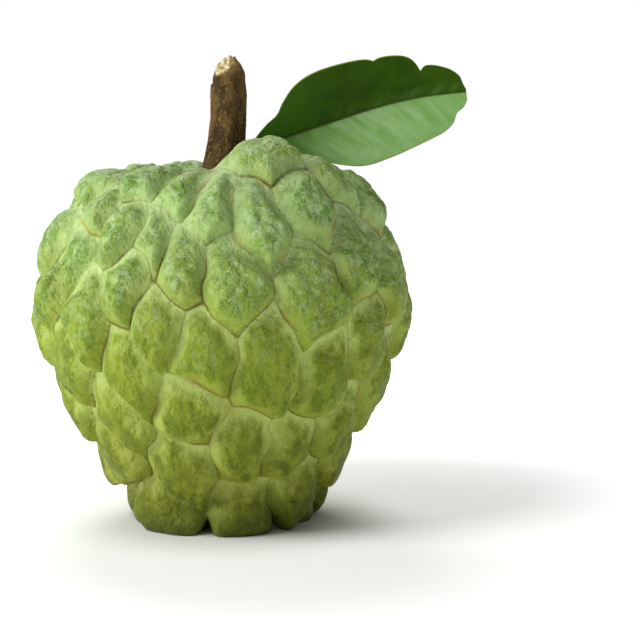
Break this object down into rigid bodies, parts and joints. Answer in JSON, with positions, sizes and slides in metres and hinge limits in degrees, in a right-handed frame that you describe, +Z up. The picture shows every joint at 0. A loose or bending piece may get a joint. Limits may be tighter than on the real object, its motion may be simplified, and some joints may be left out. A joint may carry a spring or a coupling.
{
  "type": "custard apple",
  "caption": "Whole custard apple resting on its base, its skin raised in overlapping scale-like carpels, with a cut stub of woody stem and a leaf on it.",
  "frame": {"origin": "on the fruit's upright axis, at the middle of the flat spot that it rests on", "axes": "+Z up along the fruit's axis towards the stem; the leaf points towards +X, a little back; the front, where the raised shoulder beside the stem is, faces -Y"},
  "size_m": [0.0984, 0.0853, 0.1041],
  "materials": {
    "skin": "light green skin with a whitish bloom and paler creases, satin to matt",
    "bark": "dry brown bark with fine lengthwise wrinkles, matt",
    "leaf": "dark green, lighter below the midrib, with a soft waxy sheen"
  },
  "bodies": {
    "root": {"fruit": "skin", "stem": "bark", "leaf": "leaf"}
  },
  "joints": []
}
